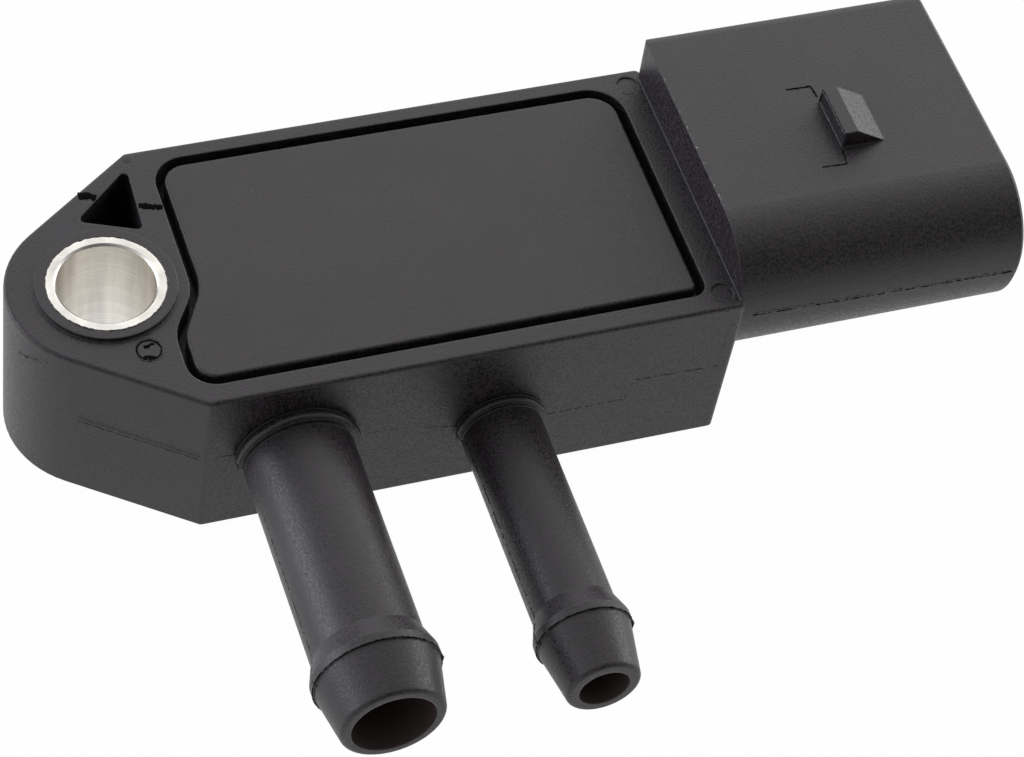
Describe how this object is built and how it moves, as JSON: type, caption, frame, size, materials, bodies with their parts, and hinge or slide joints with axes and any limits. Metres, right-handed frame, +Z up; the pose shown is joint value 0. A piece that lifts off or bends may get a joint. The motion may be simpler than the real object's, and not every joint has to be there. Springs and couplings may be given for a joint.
{
  "type": "differential pressure sensor",
  "caption": "Exhaust filter differential pressure sensor: moulded housing with a bolt lug, barbed hose nipples, a keyed plug socket and a bonded cover.",
  "frame": {"origin": "on the axis of the bolt bush, at the bottom face of the housing", "axes": "+X along the housing to the plug socket, +Z up through the cover along the bolt axis, hose nipples towards -Y"},
  "size_m": [0.0688, 0.0444, 0.0184],
  "materials": {
    "housing_plastic": "black satin moulding, glass filled",
    "cover_plastic": "black with a fine eroded grain",
    "sealing_bead": "cured black silicone",
    "bush_metal": "turned",
    "terminal_metal": "tin plated",
    "bond_metal": "drawn",
    "plate_ceramic": "white sintered ceramic",
    "plate_glue": "cured grey silicone",
    "pedestal_glass": "clear",
    "silicon": "polished silicon",
    "capacitor_ceramic": "sintered ceramic",
    "frame_plastic": "moulded",
    "gel": "soft gel"
  },
  "bodies": {
    "root": {"housing": "housing_plastic", "cover": "cover_plastic", "cover_adhesive": "sealing_bead", "bolt_bush": "bush_metal", "terminal_supply": "terminal_metal", "terminal_ground": "terminal_metal", "terminal_signal": "terminal_metal", "terminal_ribbon_supply": "bond_metal", "terminal_ribbon_ground": "bond_metal", "terminal_ribbon_signal": "bond_metal", "sensor_substrate": "plate_ceramic", "substrate_adhesive": "plate_glue", "glass_pedestal": "pedestal_glass", "pressure_die": "silicon", "signal_chip": "silicon", "chip_capacitor_1": "capacitor_ceramic", "chip_capacitor_2": "capacitor_ceramic", "chip_capacitor_3": "capacitor_ceramic", "chip_capacitor_4": "capacitor_ceramic", "gel_frame": "frame_plastic", "protective_gel": "gel", "die_wire_1": "bond_metal", "die_wire_2": "bond_metal", "die_wire_3": "bond_metal", "die_wire_4": "bond_metal"}
  },
  "joints": []
}
